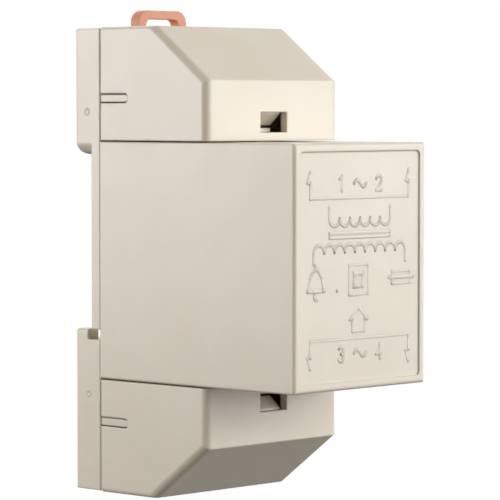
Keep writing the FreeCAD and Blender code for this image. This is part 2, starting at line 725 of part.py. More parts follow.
def make_spring():
    """Small compression spring under the post of the base; its coils close at the clip's stop."""
    item = doc.addObject("Part::Feature", "clip_spring")
    item.Label = "clip_spring"
    radius = size("spring_radius")
    wire = size("spring_wire")
    turns = size("spring_turns")
    length = turns * wire + size("clip_travel")
    helix = Part.makeHelix(length / turns, length, radius)
    ring = Part.Wire(Part.makeCircle(wire / 2, Vector(radius, 0, 0), Vector(0, 1, 0)))
    item.Shape = Part.Wire(helix.Edges).makePipeShell([ring], True, True)
    seat_on_rail(item, "0", "sizes.clip_floor + sizes.clip_play + sizes.spring_radius"
                 " + sizes.spring_wire / 2", "%s + sizes.spring_wire / 2" % SPRING_FOOT)
    return item


def make_e_core():
    """Stack of E laminations, yoke at the bottom."""
    body = new_body("e_laminations")
    back = minus(CORE_BACK)
    front = minus(CORE_FRONT)
    foot = "-sizes.core_height / 2"
    yoke = minus(WINDOW_HALF)
    top = WINDOW_HALF
    near_leg = "-(%s + sizes.core_leg)" % CORE_BACK
    far_leg = "(%s + sizes.core_leg)" % front
    mid_back = "(sizes.core_leg - %s)" % CORE_MIDDLE
    mid_front = "-(%s + sizes.core_leg)" % CORE_MIDDLE
    profile = draw(body, "e_profile", "YZ_Plane", [[
        (back, foot), (back, top), (near_leg, top), (near_leg, yoke), (mid_back, yoke),
        (mid_back, top), (mid_front, top), (mid_front, yoke), (far_leg, yoke),
        (far_leg, top), (front, top), (front, foot)]])
    pad(body, "e_stack", profile, "sizes.core_stack", "symmetric")
    return body


def make_i_core():
    """Stack of I laminations that closes the core."""
    body = new_body("i_laminations")
    profile = draw(body, "i_profile", "YZ_Plane", [
        rectangle(minus(CORE_FRONT), minus(CORE_BACK), WINDOW_HALF, "sizes.core_height / 2")])
    pad(body, "i_stack", profile, "sizes.core_stack", "symmetric")
    return body


def around_leg(reach_x, reach_y):
    """Rectangle round the middle leg of the core, seen along the coil's axis."""
    return rectangle(minus(reach_x), reach_x,
                     "(-%s - %s)" % (CORE_MIDDLE, reach_y), "(%s - %s)" % (reach_y, CORE_MIDDLE))


TUBE_IN_X = "(sizes.core_stack / 2 + sizes.bobbin_play)"
TUBE_IN_Y = "(sizes.core_leg + sizes.bobbin_play)"
TUBE_OUT_X = "(%s + sizes.bobbin_wall)" % TUBE_IN_X
TUBE_OUT_Y = "(%s + sizes.bobbin_wall)" % TUBE_IN_Y
FLANGE_X = "(sizes.flange_width / 2)"
FLANGE_Y = "(sizes.core_length / 2 - sizes.core_leg - sizes.flange_margin)"
BOBBIN_END = "(%s - sizes.flange_margin)" % WINDOW_HALF
CHAMBER_FOOT = "(sizes.bobbin_flange / 2 + sizes.winding_play)"
CHAMBER_END = "(%s - sizes.bobbin_flange - sizes.winding_play)" % BOBBIN_END
COIL_X = "(%s - sizes.winding_drop)" % FLANGE_X
COIL_Y = "(%s - sizes.winding_drop)" % FLANGE_Y


def make_bobbin():
    """Coil former with two chambers that keep the windings apart."""
    body = new_body("bobbin")
    tube = draw(body, "tube_outline", "XY_Plane", [around_leg(TUBE_OUT_X, TUBE_OUT_Y)])
    pad(body, "tube", tube, "2 * %s" % BOBBIN_END, "symmetric")
    for name, place in (("top", "(%s - sizes.bobbin_flange)" % BOBBIN_END),
                        ("middle", "-sizes.bobbin_flange / 2"),
                        ("bottom", minus(BOBBIN_END))):
        sketch = draw(body, name + "_flange_outline", "XY_Plane",
                      [around_leg(FLANGE_X, FLANGE_Y)], place)
        pad(body, name + "_flange", sketch, "sizes.bobbin_flange")
    bore = draw(body, "bore_outline", "XY_Plane", [around_leg(TUBE_IN_X, TUBE_IN_Y)])
    pocket(body, "leg_bore", bore, "through", "symmetric")
    return body


def chamber_block(label, sign, reach, round_size):
    """Rounded block in one chamber of the bobbin, above (1) or below (-1) the middle flange."""
    body = new_body(label)
    middle = "%d * (%s + %s) / 2" % (sign, CHAMBER_FOOT, CHAMBER_END)
    sketch = draw(body, label + "_outline", "XY_Plane", [around_leg(*reach)], middle)
    pad(body, label + "_solid", sketch, "%s - %s" % (CHAMBER_END, CHAMBER_FOOT), "symmetric")
    round_edges(body, label + "_corners", lambda edge: runs_along(edge, 2), round_size)
    return body


def grown(reach, extra):
    return tuple("(%s + %s)" % (value, extra) for value in reach)


def make_winding(label, sign):
    """Winding that fills one chamber of the bobbin."""
    body = chamber_block(label, sign, (COIL_X, COIL_Y), "sizes.winding_round")
    inner = grown((TUBE_OUT_X, TUBE_OUT_Y), "sizes.winding_play")
    hole = draw(body, label + "_hole", "XY_Plane", [around_leg(*inner)])
    pocket(body, label + "_opening", hole, "through", "symmetric")
    return body


def make_tape(label, sign):
    """Band of tape wrapped over one winding."""
    outer = grown((COIL_X, COIL_Y), "sizes.tape_thickness")
    body = chamber_block(label, sign, outer, "sizes.winding_round + sizes.tape_thickness")
    base = body.Tip
    ends = ["Face%d" % number for number, face in enumerate(base.Shape.Faces, 1)
            if face.BoundBox.ZLength < 1e-4]
    shell = body.newObject("PartDesign::Thickness", label + "_band")
    shell.Base = (base, ends)
    shell.setExpression("Value", "sizes.tape_thickness")
    shell.Reversed = True
    doc.recompute()
    return body


def make_coils():
    """Windings with the tape wrapped over each of them."""
    items = []
    for name, sign in (("primary", -1), ("secondary", 1)):
        items.append(make_winding(name + "_winding", sign))
        items.append(make_tape(name + "_tape", sign))
    return items


def make_fuse():
    """Thermal cut-out that lies against the back of the primary coil."""
    item = doc.addObject("Part::Cylinder", "thermal_fuse")
    item.Label = "thermal_fuse"
    item.setExpression("Radius", "sizes.fuse_radius")
    item.setExpression("Height", "%s - %s" % (CHAMBER_END, CHAMBER_FOOT))
    seat_on_rail(item, "sizes.fuse_place",
                 "%s + sizes.tape_thickness + sizes.fuse_radius + sizes.winding_play - %s"
                 % (COIL_Y, CORE_MIDDLE), minus(CHAMBER_END))
    return item


def make_upper_terminal_block():
    """Moulded carrier of two terminals with a barrier between them."""
    body = new_body("secondary_terminal_block")
    half = "sizes.terminal_width / 2"
    outline = draw(body, "carrier_outline", "XZ_Plane",
                   [rectangle(minus(half), half, TERMINAL_FOOT, TERMINAL_END)])
    pad(body, "carrier", outline, "sizes.terminal_depth")
    side = "sizes.barrier_width / 2"
    wall = draw(body, "barrier_outline", "XZ_Plane", [
        rectangle(minus(side), side, TERMINAL_FOOT, "(%s + sizes.barrier_height)" % TERMINAL_FOOT)])
    pad(body, "barrier", wall, "sizes.cover_depth - sizes.cover_wall - sizes.barrier_room")
    middle = "sizes.terminal_pitch / 2"
    rings = mirrored_pair("(%s - sizes.pocket_width / 2)" % middle,
                          "(%s + sizes.pocket_width / 2)" % middle,
                          POCKET_FOOT, "(%s + sizes.pocket_height)" % POCKET_FOOT)
    sketch = draw(body, "clamp_pocket_outlines", "XZ_Plane", rings, "sizes.terminal_depth")
    pocket(body, "clamp_pockets", sketch, "sizes.terminal_depth - sizes.pocket_back")
    add_terminal_holes(body)
    return body


def add_terminal_holes(body):
    """Holes for the cables, for the coil's leads and for the pegs of the base."""
    middle = "sizes.terminal_pitch / 2"
    roof = "(%s + sizes.pocket_height)" % POCKET_FOOT
    cables = new_sketch(body, "cable_hole_circles", "XY_Plane", roof)
    leads = new_sketch(body, "lead_hole_circles", "XY_Plane", POCKET_FOOT)
    pegs = new_sketch(body, "peg_hole_circles", "XZ_Plane")
    for height in PEG_HEIGHTS:
        add_circle(pegs, ("0", height), "sizes.peg_radius + sizes.peg_play")
    for sign in ("", "-"):
        add_circle(cables, (sign + middle, "-sizes.wire_hole_place"), "sizes.wire_hole_radius")
        add_circle(leads, (sign + "sizes.lead_place", "-sizes.lead_depth"), "sizes.lead_hole_radius")
    pocket(body, "cable_holes", cables, "%s - %s" % (TERMINAL_END, POCKET_FOOT), "reversed")
    pocket(body, "lead_holes", leads, "sizes.pocket_wall")
    pocket(body, "peg_holes", pegs, "sizes.peg_length + sizes.peg_play", "reversed")


def make_clamp(label, side, end):
    """Bent metal cage of one terminal; side is left (-1) or right (1), end is up or down."""
    body = new_body(label)
    half_x = "(sizes.pocket_width / 2 - sizes.clamp_play)"
    half_y = "sizes.clamp_depth / 2"
    length = "sizes.pocket_height - 2 * sizes.clamp_play"
    outer = rectangle(minus(half_x), half_x, minus(half_y), half_y)
    inner_x = "(%s - sizes.clamp_sheet)" % half_x
    inner_y = "(%s - sizes.clamp_sheet)" % half_y
    inner = rectangle(minus(inner_x), inner_x, minus(inner_y), inner_y)
    sketch = draw(body, label + "_ring", "XY_Plane", [outer, inner])
    pad(body, label + "_cage", sketch, length, "symmetric")
    hole = new_sketch(body, label + "_hole_circle", "XZ_Plane", half_y)
    add_circle(hole, ("0", "0"), "sizes.terminal_screw_radius + sizes.screw_play")
    pocket(body, label + "_screw_hole", hole, "1.5 * sizes.clamp_sheet")
    seat_on_rail(body, "%d * sizes.terminal_pitch / 2" % side, minus(CLAMP_MIDDLE),
                 "%d * %s" % (end, POCKET_MIDDLE))
    return body


def slotted_screw(radius, length, head_radius, head_height):
    """Screw along Y: its head's seat at the origin, its shank toward the back."""
    shank = Part.makeCylinder(radius, length, Vector(0, 0, 0), Vector(0, 1, 0))
    head = Part.makeCylinder(head_radius, head_height, Vector(0, 0, 0), Vector(0, -1, 0))
    rim = [edge for edge in head.Edges if in_plane(edge, 1, -head_height)]
    head = head.makeFillet(head_height / 4, rim)
    slot_half = size("drive_slot") / 2
    depth = size("drive_depth")
    slot = Part.makeBox(2 * slot_half, depth, 2 * head_radius,
                        Vector(-slot_half, -head_height, -head_radius))
    return shank.fuse(head.cut(slot)).removeSplitter()


def make_terminal_screws():
    """The four clamping screws, reached from the front."""
    item = doc.addObject("Part::Feature", "terminal_screws")
    item.Label = "terminal_screws"
    screw = slotted_screw(size("terminal_screw_radius"), size("terminal_screw_length"),
                          size("terminal_head_radius"), size("terminal_head_height"))
    seat = -(size("pocket_back") + size("clamp_play") + size("clamp_depth") + size("screw_play"))
    foot = size("block_height") / 2 + size("terminal_start") + size("pocket_wall")
    height = foot + size("pocket_height") / 2
    copies = []
    for side in (-1, 1):
        for end in (-1, 1):
            copies.append(screw.translated(Vector(side * size("terminal_pitch") / 2, seat, end * height)))
    item.Shape = Part.makeCompound(copies)
    seat_on_rail(item)
    return item


def make_case_screws():
    """The four screws that hold the housing to the base, driven from the back."""
    item = doc.addObject("Part::Feature", "case_screws")
    item.Label = "case_screws"
    screw = slotted_screw(size("case_screw_radius"), size("case_screw_length"),
                          size("case_head_radius"), size("case_head_height"))
    screw.rotate(Vector(0, 0, 0), Vector(0, 0, 1), 180)
    seat = size("base_floor") - size("case_head_height")
    inside = size("block_height") / 2 - size("block_wall")
    height = inside - size("boss_radius") + size("boss_bury")
    copies = []
    for side in (-1, 1):
        for end in (-1, 1):
            copies.append(screw.translated(Vector(side * size("boss_place"), seat, end * height)))
    item.Shape = Part.makeCompound(copies)
    seat_on_rail(item)
    return item


def bent_path(places, bend):
    """Straight runs between the places, with a round bend at each corner."""
    edges = []
    start = places[0]
    for before, corner, after in zip(places, places[1:], places[2:]):
        back = (before - corner).normalize()
        onward = (after - corner).normalize()
        half = back.getAngle(onward) / 2
        first = corner + back * (bend / math.tan(half))
        last = corner + onward * (bend / math.tan(half))
        inward = (back + onward).normalize()
        middle = corner + inward * (bend / math.sin(half) - bend)
        edges += [Part.makeLine(start, first), Part.Arc(first, middle, last).toShape()]
        start = last
    edges.append(Part.makeLine(start, places[-1]))
    return Part.Wire(edges)


def make_lead(label, points):
    """Round insulated wire, bent at each inner point."""
    item = doc.addObject("Part::Feature", label)
    item.Label = label
    places = [Vector(*point) for point in points]
    path = bent_path(places, size("lead_bend"))
    ring = Part.Wire(Part.makeCircle(size("lead_radius"), places[0], places[1] - places[0]))
    item.Shape = path.makePipeShell([ring], True, False)
    seat_on_rail(item)
    return item


def make_leads():
    """Leads from the coils to the terminals."""
    x = size("lead_place")
    y = -size("lead_depth")
    foot = size("block_height") / 2 + size("terminal_start") + size("pocket_wall")
    coil_end = size("core_height") / 2 - size("core_leg") - size("flange_margin")
    coil_back = -(size("core_back_gap") + size("core_leg") + size("flange_margin")
                  + size("winding_drop"))
    start = coil_end + size("lead_radius") / 2
    in_coil = coil_back - size("lead_bury")
    first = start + size("lead_rise")
    second = first + size("lead_climb")
    items = []
    for name, side, end in (("secondary_lead_left", -1, 1), ("secondary_lead_right", 1, 1),
                            ("primary_lead_neutral", -1, -1)):
        items.append(make_lead(name, [
            (side * x, in_coil, end * start), (side * x, in_coil + size("lead_lean"), end * first),
            (side * x, y, end * second), (side * x, y, end * foot)]))
    fuse_y = coil_back + size("tape_thickness") + size("fuse_radius") + size("winding_play")
    fuse_foot = size("bobbin_flange") + size("winding_play") - coil_end
    straight = fuse_foot - size("fuse_lead_straight")
    items.append(make_lead("primary_lead_live", [
        (size("fuse_place"), fuse_y, fuse_foot), (size("fuse_place"), fuse_y, straight),
        (x, y, straight - size("fuse_lead_turn")), (x, y, -foot)]))
    return items


def make_terminals():
    """Terminal blocks, cages and screws at both ends."""
    upper = make_upper_terminal_block()
    items = [upper, mirror_below(upper, "primary_terminal_block")]
    for name, end in (("primary", -1), ("secondary", 1)):
        for place, side in (("left", -1), ("right", 1)):
            items.append(make_clamp("%s_clamp_%s" % (name, place), side, end))
    items.append(make_terminal_screws())
    return items


def check_and_export(items):
    """Refuse a failed or invalid object, then write one STEP file for each piece."""
    doc.recompute()
    for item in doc.Objects:
        if "Invalid" in item.State or "Error" in item.State:
            raise RuntimeError("%s failed: %s" % (item.Name, item.State))
    for item in items:
        if item.Shape.isNull() or not item.Shape.isValid():
            raise RuntimeError("%s has no valid shape" % item.Label)
        item.Shape.exportStep("parts/%s.step" % item.Label)
        print(item.Label, len(item.Shape.Solids), round(item.Shape.Volume, 1))


upper_cover = make_upper_cover()
pieces = [make_base(), make_housing(), upper_cover,
          mirror_below(upper_cover, "lower_terminal_cover"),
          make_clip(), make_spring(), make_e_core(), make_i_core(), make_bobbin()]
pieces += make_coils()
pieces += [make_fuse(), make_case_screws()]
pieces += make_terminals()
pieces += make_leads()
check_and_export(pieces)
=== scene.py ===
import json
import math
import bmesh
import bpy
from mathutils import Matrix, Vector


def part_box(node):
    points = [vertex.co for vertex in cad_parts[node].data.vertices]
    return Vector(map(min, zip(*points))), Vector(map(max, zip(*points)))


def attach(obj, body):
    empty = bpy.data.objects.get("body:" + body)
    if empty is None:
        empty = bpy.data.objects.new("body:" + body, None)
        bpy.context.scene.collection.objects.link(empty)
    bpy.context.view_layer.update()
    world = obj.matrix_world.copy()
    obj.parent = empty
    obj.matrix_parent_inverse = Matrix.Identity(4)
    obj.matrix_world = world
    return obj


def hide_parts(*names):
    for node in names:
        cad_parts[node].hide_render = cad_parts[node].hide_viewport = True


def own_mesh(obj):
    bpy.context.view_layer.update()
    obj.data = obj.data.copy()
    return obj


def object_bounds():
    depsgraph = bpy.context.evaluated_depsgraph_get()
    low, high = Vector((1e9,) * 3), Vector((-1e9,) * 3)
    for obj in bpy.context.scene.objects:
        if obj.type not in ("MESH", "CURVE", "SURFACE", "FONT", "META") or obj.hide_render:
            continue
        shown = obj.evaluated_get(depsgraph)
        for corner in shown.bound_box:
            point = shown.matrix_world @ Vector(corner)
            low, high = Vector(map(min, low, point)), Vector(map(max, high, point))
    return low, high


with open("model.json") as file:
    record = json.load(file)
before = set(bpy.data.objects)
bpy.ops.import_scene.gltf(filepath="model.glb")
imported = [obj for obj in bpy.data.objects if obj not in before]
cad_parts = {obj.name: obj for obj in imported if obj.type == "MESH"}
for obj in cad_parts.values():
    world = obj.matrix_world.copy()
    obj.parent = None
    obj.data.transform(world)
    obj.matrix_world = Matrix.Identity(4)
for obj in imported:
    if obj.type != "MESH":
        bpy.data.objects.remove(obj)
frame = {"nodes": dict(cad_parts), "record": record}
CAD_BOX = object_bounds()
MM = 0.001

# Raised strokes of the front panel, in millimetres
PANEL_SINK = 0.3
STROKE = 0.45
STROKE_FLATNESS = 0.22
STROKE_BURY = 0.06
STROKE_SIDES = 12
STROKE_END_SEGMENTS = 10
STROKE_END_RINGS = 6

# Symbols of the front panel, in millimetres from the middle of the panel
BRACKET_HALF = 13.55
UPPER_BRACKET = 12.5
LOWER_BRACKET = -13.2
BRACKET_RISE = 2.9
ARROW_REACH = 2.1
ARROW_STEP = 0.8
COIL_LOOP = 1.4
SECONDARY_LOOPS = 6
PRIMARY_LOOPS = 9
SECONDARY_LINE = 8.8
PRIMARY_LINE = 2.7
CORE_LINES = (5.35, 6.15)
LEAD_RISE = 2.1
SYMBOL_LINE = -2.45
BELL_PLACE = -12.0
SQUARES_PLACE = -0.4
FUSE_PLACE = 11.5
HOUSE_LINE = -9.75
DOT_PLACE = (-6.3, -4.3)
DOT_LENGTH = 0.05
NUMBER_HEIGHT = 2.7
NUMBER_WIDTH = 1.5
NUMBER_PLACE = 5.2
UPPER_ROW = UPPER_BRACKET + 2.65
LOWER_ROW = LOWER_BRACKET - 2.7
WAVE_WIDTH = 3.4
WAVE_HEIGHT = 1.3
WAVE_STEPS = 16

# Snap catch inside each window and the hook of the housing beside it, in millimetres
COVER_WALL = 1.6
HALF_BLOCK = 22.5
WINDOW_FAR = 5.6
CATCH_HALF = 3.5
CATCH_ROOT = 1.6
CATCH_LIP = 0.3
CATCH_DROP = 2.6
CATCH_REACH = 2.6
CATCH_WALL = 0.9
HOOK_HALF = 2.4
HOOK_FRONT = 1.5
HOOK_BACK = 3.0
HOOK_FOOT = 0.6
HOOK_TOP = 2.6
SMALL_BEVEL = 0.18

# Corners of the frame's triangles nearer than this are one corner
MERGE_REACH = 0.002 * MM

# Surface of the mouldings
EDGE_RADIUS = 0.45 * MM
EDGE_SAMPLES = 4
CLOUD_SIZE = 14 * MM
SHEEN_SIZE = 6 * MM
SHEEN_LESS = 0.015
SHEEN_MORE = 0.02
MOULD_WAVE_SIZE = 11 * MM
MOULD_WAVE_DEPTH = 0.02 * MM
GRAIN_DEPTH = 0.006 * MM
GRAIN_STRENGTH = 0.7

# Moulding marks on the left side of the base
MOULD_MARKS = (Vector((-18.0, 1.28, 25.8)) * MM, Vector((-18.0, 0.95, -27.88)) * MM)
MARK_RADIUS = 0.55 * MM
MARK_WIDTH = 0.3 * MM
MARK_DEPTH = 0.07 * MM

# Mouldings: lighter and darker colour on a screen, roughness, size of the grain
CREAM = ((229, 221, 207), (224, 215, 199), 0.3, 0.35 * MM)
ORANGE = ((223, 161, 133), (215, 149, 121), 0.48, 0.3 * MM)
TERMINAL_CREAM = ((205, 199, 186), (197, 190, 176), 0.5, 0.3 * MM)
BOBBIN_WHITE = ((238, 236, 228), (230, 227, 216), 0.4, 0.4 * MM)
FUSE_WHITE = ((236, 236, 230), (226, 226, 218), 0.25, 0.5 * MM)
LEAD_GREY = ((206, 205, 198), (196, 195, 188), 0.45, 0.2 * MM)

# Bare metals: lighter and darker colour, roughness, depth and fineness of the scratches
ZINC = ((196, 198, 200), (164, 167, 171), 0.3, 0.008 * MM, (1, 1, 8))
BRASS = ((214, 178, 108), (188, 150, 84), 0.28, 0.006 * MM, (8, 1, 1))
METAL_CLOUD_SIZE = 1.5 * MM
SCRATCH_SIZE = 0.4 * MM
SCRATCH_LESS = 0.08
SCRATCH_MORE = 0.1

# Core and coil
SHEET_THICKNESS = 0.5 * MM
SHEET_GROOVE = 0.05 * MM
WIRE_PITCH = 0.32 * MM
WIRE_GROOVE = 0.12 * MM
WIRE_UNDER_TAPE = 0.02 * MM

# Noise lies mostly between these values
NOISE_LOW = 0.25
NOISE_HIGH = 0.75

# Scale of a wave texture whose bands are a metre apart
BAND_SCALE = math.pi / 10

# Camera
CAMERA_PLACE = Vector((-413.6, -416.4, 26.8)) * MM
CAMERA_AZIMUTH = -46.54
CAMERA_ELEVATION = 2.73
CAMERA_LENS = 217.1
SENSOR_WIDTH = 36.0
NEAREST = 0.01
FARTHEST = 100.0

# Floor and world, in metres
FLOOR_DROP = 60 * MM
FLOOR_REACH = 6.0
FLOOR_COLOUR = (0.12, 0.12, 0.12, 1.0)
FLOOR_GLOW = 0.84
FLOOR_FADE = (0.3, 0.55)
NEAR_WHITE_RAYS = ("Is Camera Ray", "Is Transmission Ray")
WHITE_RAYS = ("Is Camera Ray", "Is Transmission Ray", "Is Glossy Ray")
WORLD_STRENGTH = 0.33
WORLD_COLOUR = (1.0, 0.92, 0.78, 1.0)

# Square lamps: name, place in metres, power, colour
LAMP_SIZE = 0.8
LAMPS = (
    ("right_low_box", (0.99, -1.054, 0.105), 9.1, (0.98, 0.985, 1.0)),
    ("right_box", (0.933, -0.993, 0.496), 3.6, (0.98, 0.985, 1.0)),
    ("left_box", (-1.033, 1.012, 0.107), 15.7, (1.0, 0.985, 0.97)),
    ("front_box", (0.15, -1.42, 0.3), 7.4, (0.98, 0.985, 1.0)),
    ("back_box", (0.7, 1.1, 0.9), 3.6, (1.0, 0.99, 0.98)),
)


def new_finish(name):
    """Material and its principled shader."""
    finish = bpy.data.materials.new(name)
    finish.use_nodes = True
    return finish, finish.node_tree.nodes["Principled BSDF"]


def add_node(finish, kind, **settings):
    """Node of a material, with its settings."""
    node = finish.node_tree.nodes.new(kind)
    for name, value in settings.items():
        setattr(node, name, value)
    return node


def join(finish, out, into):
    """Link two sockets of a material."""
    finish.node_tree.links.new(out, into)


def set_inputs(node, values):
    """Plain values on a node's own sockets."""
    for name, value in values.items():
        node.inputs[name].default_value = value


def linear(screen):
    """Colour of three screen values from 0 to 255, as the shader takes it."""
    return tuple(((value / 255 + 0.055) / 1.055) ** 2.4 for value in screen)


def object_place(finish, stretch=(1, 1, 1)):
    """Object coordinates, stretched along the axes."""
    place = add_node(finish, "ShaderNodeTexCoord")
    mapping = add_node(finish, "ShaderNodeMapping")
    mapping.inputs["Scale"].default_value = stretch
    join(finish, place.outputs["Object"], mapping.inputs["Vector"])
    return mapping.outputs["Vector"]


def noise(finish, size, detail, stretch=(1, 1, 1)):
    """Noise whose lumps are about the given size in metres."""
    node = add_node(finish, "ShaderNodeTexNoise")
    set_inputs(node, {"Scale": 1 / size, "Detail": detail})
    join(finish, object_place(finish, stretch), node.inputs["Vector"])
    return node.outputs["Fac"]


def bands(finish, pitch, axis, distortion=0.0):
    """Even bands of the given pitch across one axis."""
    node = add_node(finish, "ShaderNodeTexWave", wave_type="BANDS", bands_direction=axis)
    set_inputs(node, {"Scale": BAND_SCALE / pitch, "Distortion": distortion})
    join(finish, object_place(finish), node.inputs["Vector"])
    return node.outputs["Fac"]


def spread(finish, value, low, high):
    """Noise or bands brought between two numbers."""
    node = add_node(finish, "ShaderNodeMapRange")
    set_inputs(node, {"From Min": NOISE_LOW, "From Max": NOISE_HIGH, "To Min": low, "To Max": high})
    join(finish, value, node.inputs["Value"])
    return node.outputs["Result"]


def colour_between(finish, value, low, high):
    """Mix of two screen colours."""
    node = add_node(finish, "ShaderNodeMix", data_type="RGBA")
    node.inputs["A"].default_value = (*linear(low), 1)
    node.inputs["B"].default_value = (*linear(high), 1)
    join(finish, spread(finish, value, 0, 1), node.inputs["Factor"])
    return node.outputs["Result"]


def bump(finish, height, depth, strength=1.0, under=None):
    """Bump of the given depth in metres, over another bump."""
    node = add_node(finish, "ShaderNodeBump")
    set_inputs(node, {"Distance": depth, "Strength": strength})
    join(finish, height, node.inputs["Height"])
    if under:
        join(finish, under, node.inputs["Normal"])
    return node.outputs["Normal"]


def moulded_plastic(name, look):
    """Moulded plastic: cloudy colour, soft edges, fine grain and faint waves from the mould."""
    light, dark, roughness, grain_size = look
    finish, shader = new_finish(name)
    join(finish, colour_between(finish, noise(finish, CLOUD_SIZE, 4), dark, light),
         shader.inputs["Base Color"])
    sheen = noise(finish, SHEEN_SIZE, 1)
    join(finish, spread(finish, sheen, roughness - SHEEN_LESS, roughness + SHEEN_MORE),
         shader.inputs["Roughness"])
    edge = add_node(finish, "ShaderNodeBevel")
    edge.samples = EDGE_SAMPLES
    edge.inputs["Radius"].default_value = EDGE_RADIUS
    waves = bump(finish, noise(finish, MOULD_WAVE_SIZE, 1), MOULD_WAVE_DEPTH, 1.0,
                 edge.outputs["Normal"])
    grain = bump(finish, noise(finish, grain_size, 3), GRAIN_DEPTH, GRAIN_STRENGTH, waves)
    join(finish, grain, shader.inputs["Normal"])
    return finish, shader


def plain_plastic(name, look):
    """Moulded plastic that no light enters."""
    return moulded_plastic(name, look)[0]


def cream_plastic():
    """Housing plastic, slightly warm where light enters it."""
    finish, shader = moulded_plastic("cream_plastic", CREAM)
    set_inputs(shader, {"Subsurface Weight": 0.35, "Subsurface Radius": (1.4, 1.0, 0.6),
                        "Subsurface Scale": MM, "Specular IOR Level": 0.5})
    return finish


def ring_height(finish, place):
    """Height of a small ring round one place: 1 on the ring, 0 away from it."""
    spot = add_node(finish, "ShaderNodeTexCoord")
    away = add_node(finish, "ShaderNodeVectorMath", operation="DISTANCE")
    away.inputs[1].default_value = place
    join(finish, spot.outputs["Object"], away.inputs[0])
    off = add_node(finish, "ShaderNodeMath", operation="SUBTRACT")
    join(finish, away.outputs["Value"], off.inputs[0])
    off.inputs[1].default_value = MARK_RADIUS
    size = add_node(finish, "ShaderNodeMath", operation="ABSOLUTE")
    join(finish, off.outputs["Value"], size.inputs[0])
    height = add_node(finish, "ShaderNodeMapRange", interpolation_type="SMOOTHSTEP")
    set_inputs(height, {"From Min": 0.0, "From Max": MARK_WIDTH, "To Min": 1.0, "To Max": 0.0})
    join(finish, size.outputs["Value"], height.inputs["Value"])
    return height.outputs["Result"]


def base_plastic():
    """Cream plastic of the base, with a small moulding mark near each end of its left side."""
    finish = cream_plastic()
    finish.name = "base_plastic"
    shader = finish.node_tree.nodes["Principled BSDF"]
    under = shader.inputs["Normal"].links[0].from_socket
    for place in MOULD_MARKS:
        under = bump(finish, ring_height(finish, place), MARK_DEPTH, 1.0, under)
    join(finish, under, shader.inputs["Normal"])
    return finish


def orange_plastic():
    """Clip plastic that light shines through."""
    finish, shader = moulded_plastic("orange_plastic", ORANGE)
    set_inputs(shader, {"Subsurface Weight": 0.4, "Subsurface Radius": (2.0, 0.5, 0.25),
                        "Subsurface Scale": MM, "Specular IOR Level": 0.3})
    return finish


def laminated_steel():
    """Edges of varnished sheets, stacked across the device."""
    finish, shader = new_finish("laminated_steel")
    sheets = bands(finish, SHEET_THICKNESS, "X")
    join(finish, colour_between(finish, sheets, (52, 54, 58), (122, 126, 130)),
         shader.inputs["Base Color"])
    join(finish, spread(finish, noise(finish, 2 * MM, 4), 0.35, 0.55), shader.inputs["Roughness"])
    join(finish, bump(finish, sheets, SHEET_GROOVE), shader.inputs["Normal"])
    shader.inputs["Metallic"].default_value = 0.8
    return finish


def copper_winding():
    """Turns of enamelled wire round the bobbin."""
    finish, shader = new_finish("copper_winding")
    turns = bands(finish, WIRE_PITCH, "Z", 0.4)
    join(finish, colour_between(finish, turns, (104, 48, 22), (196, 108, 58)),
         shader.inputs["Base Color"])
    join(finish, bump(finish, turns, WIRE_GROOVE), shader.inputs["Normal"])
    set_inputs(shader, {"Metallic": 0.85, "Roughness": 0.3, "Coat Weight": 0.5})
    return finish


def coil_tape():
    """Glossy film with the turns showing faintly through it."""
    finish, shader = new_finish("coil_tape")
    join(finish, colour_between(finish, noise(finish, 4 * MM, 3), (214, 170, 48), (232, 192, 74)),
         shader.inputs["Base Color"])
    join(finish, bump(finish, bands(finish, WIRE_PITCH, "Z"), WIRE_UNDER_TAPE),
         shader.inputs["Normal"])
    set_inputs(shader, {"Roughness": 0.22, "Subsurface Weight": 0.2, "Subsurface Scale": MM})
    return finish


def bare_metal(name, look):
    """Bare metal with fine scratches along one axis."""
    light, dark, roughness, scratch, stretch = look
    finish, shader = new_finish(name)
    join(finish, colour_between(finish, noise(finish, METAL_CLOUD_SIZE, 4), dark, light),
         shader.inputs["Base Color"])
    lines = noise(finish, SCRATCH_SIZE, 4, stretch)
    join(finish, spread(finish, lines, roughness - SCRATCH_LESS, roughness + SCRATCH_MORE),
         shader.inputs["Roughness"])
    join(finish, bump(finish, lines, scratch), shader.inputs["Normal"])
    shader.inputs["Metallic"].default_value = 0.75
    return finish


FINISHES = {
    "housing_plastic": cream_plastic(),
    "clip_plastic": orange_plastic(),
    "terminal_plastic": plain_plastic("terminal_plastic", TERMINAL_CREAM),
    "bobbin_plastic": plain_plastic("bobbin_plastic", BOBBIN_WHITE),
    "lamination_steel": laminated_steel(),
    "winding_copper": copper_winding(),
    "coil_tape": coil_tape(),
    "fuse_shell": plain_plastic("fuse_shell", FUSE_WHITE),
    "zinc_steel": bare_metal("zinc_steel", ZINC),
    "clamp_brass": bare_metal("clamp_brass", BRASS),
    "lead_insulation": plain_plastic("lead_insulation", LEAD_GREY),
}


def add_to_scene(name, data):
    """Object at the origin that holds a mesh, curve, lamp or camera."""
    piece = bpy.data.objects.new(name, data)
    bpy.context.scene.collection.objects.link(piece)
    return piece


def give_finish(mesh, finish):
    """One finish for a whole mesh."""
    mesh.materials.clear()
    mesh.materials.append(finish)
    mesh.polygons.foreach_set("material_index", [0] * len(mesh.polygons))


def dress_nodes():
    """Give every piece of the frame the finish of its material slot."""
    slots = {part["node"]: part["material_slot"] for part in frame["record"]["subparts"]}
    special = {"base": base_plastic()}
    for name, node in frame["nodes"].items():
        node.data.materials.clear()
        node.data.materials.append(special.get(name) or FINISHES[slots[name]])


